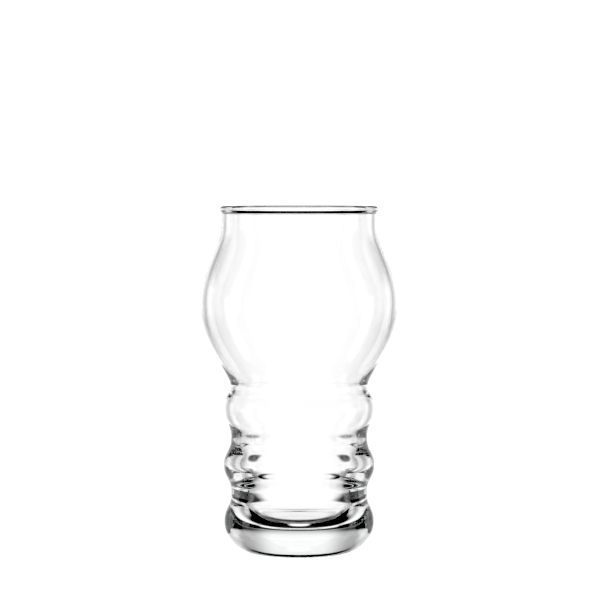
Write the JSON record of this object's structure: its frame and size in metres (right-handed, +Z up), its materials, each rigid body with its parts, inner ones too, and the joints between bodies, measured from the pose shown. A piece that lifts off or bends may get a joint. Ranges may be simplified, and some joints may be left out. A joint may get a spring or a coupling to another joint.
{
  "type": "pint glass",
  "caption": "Clear pint glass turned about one axis: heavy round foot, ringed lower wall, narrow waist, wide bulb, straight neck and beaded rim.",
  "frame": {"origin": "centre of the stand ring under the base, on the surface that the glass stands on", "axes": "+Z up along the axis of revolution, out of the mouth; the glass is round, so +X and +Y are interchangeable"},
  "size_m": [0.089, 0.089, 0.156],
  "materials": {
    "clear_glass": "fire-polished, clear and colourless"
  },
  "bodies": {
    "root": {"glass_body": "clear_glass"}
  },
  "joints": []
}
